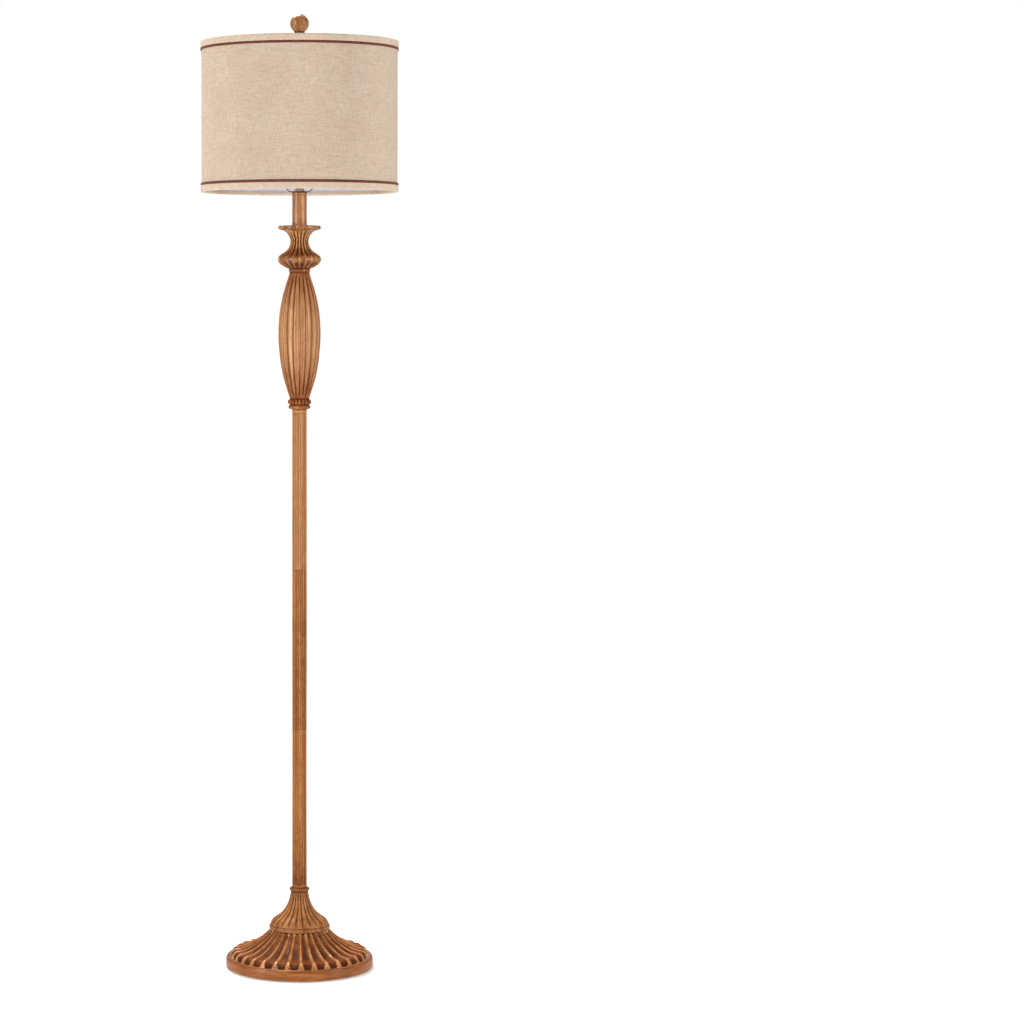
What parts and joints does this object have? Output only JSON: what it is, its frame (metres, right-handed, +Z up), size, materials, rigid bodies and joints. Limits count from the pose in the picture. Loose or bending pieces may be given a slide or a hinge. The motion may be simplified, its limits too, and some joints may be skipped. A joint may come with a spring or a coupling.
{
  "type": "floor lamp",
  "caption": "Floor lamp with a ribbed round base, fluted pole, baluster and vase, a harp and socket with a turn knob, a linen drum shade and a ball finial.",
  "frame": {"origin": "centre of the base at the level of the undersides of the foot pads", "axes": "+Z up along the pole, -Y towards the viewer with the turn knob at the front and the cord bushing at the back (+Y), +X to the viewer's right along the plane of the harp"},
  "size_m": [0.33, 0.33, 1.6036],
  "materials": {
    "carved_wood": "semi-gloss brown glaze over carved flutes",
    "painted_tube": "semi-gloss wood-tone paint",
    "iron": "rough black paint",
    "zinc_steel": "zinc plated",
    "aged_brass": "polished, slightly darkened",
    "black_moulding": "satin black",
    "fibre_sleeve": "matte fibre board",
    "pad_rubber": "matte",
    "liner_sheet": "smooth satin white",
    "linen": "slubbed plain weave",
    "bias_linen": "plain weave cut on the bias",
    "brown_piping": "woven braid"
  },
  "bodies": {
    "stand": {"base_dish": "carved_wood", "base_bell": "carved_wood", "base_collar_ring": "carved_wood", "gadroon_collar": "carved_wood", "baluster": "carved_wood", "baluster_ring": "carved_wood", "vase": "carved_wood", "pole_lower": "painted_tube", "pole_middle": "painted_tube", "pole_upper": "painted_tube", "neck_tube": "painted_tube", "neck_ring": "painted_tube", "base_weight": "iron", "base_washer": "zinc_steel", "base_nut": "zinc_steel", "base_pipe": "zinc_steel", "pole_inserts": "zinc_steel", "pole_nipples": "zinc_steel", "upper_pipe": "zinc_steel", "saddle_nut": "zinc_steel", "socket_set_screw": "zinc_steel", "neck_cap": "aged_brass", "harp_saddle": "aged_brass", "harp_wire": "aged_brass", "harp_seat": "aged_brass", "socket_cap": "aged_brass", "socket_shell": "aged_brass", "screw_shell": "aged_brass", "centre_contact": "aged_brass", "socket_body": "black_moulding", "cord_bushing": "black_moulding", "base_cover": "black_moulding", "socket_insulator": "fibre_sleeve", "foot_pads": "pad_rubber"},
    "switch": {"switch_shaft": "aged_brass", "switch_knob": "black_moulding"},
    "harp_sleeve_left": {"harp_sleeve_left": "aged_brass"},
    "harp_sleeve_right": {"harp_sleeve_right": "aged_brass"},
    "shade": {"spider_hub": "zinc_steel", "spider_arms": "zinc_steel", "shade_top_ring": "zinc_steel", "shade_bottom_ring": "zinc_steel", "shade_liner": "liner_sheet", "linen_cover": "linen", "top_trim": "bias_linen", "bottom_trim": "bias_linen", "top_piping": "brown_piping", "bottom_piping": "brown_piping"},
    "finial_core": {"finial_insert": "aged_brass"},
    "finial": {"finial_ball": "carved_wood"}
  },
  "joints": [
    {"name": "switch_turn", "type": "hinge", "parent": "stand", "child": "switch", "pos_m": [0, -0.0264, 1.3413], "axis": [0, -1, 0], "continuous": true},
    {"name": "shade_turn", "type": "hinge", "parent": "stand", "child": "shade", "pos_m": [0, 0, 1.5538], "axis": [0, 0, 1], "continuous": true},
    {"name": "harp_sleeve_left_lift", "type": "slide", "parent": "stand", "child": "harp_sleeve_left", "axis": [0, 0, 1], "range_m": [0, 0.0148]},
    {"name": "harp_sleeve_right_lift", "type": "slide", "parent": "stand", "child": "harp_sleeve_right", "axis": [0, 0, 1], "range_m": [0, 0.0148]},
    {"name": "finial_rise", "type": "slide", "parent": "stand", "child": "finial_core", "axis": [0, 0, 1], "range_m": [0, 0.0105]},
    {"name": "finial_turn", "type": "hinge", "parent": "finial_core", "child": "finial", "pos_m": [0, 0, 1.56], "axis": [0, 0, 1], "range_deg": [0, 3600]}
  ],
  "couplings": [
    {"joint": "finial_rise", "follows": "finial_turn", "m_per_rad": 0.00014972}
  ]
}
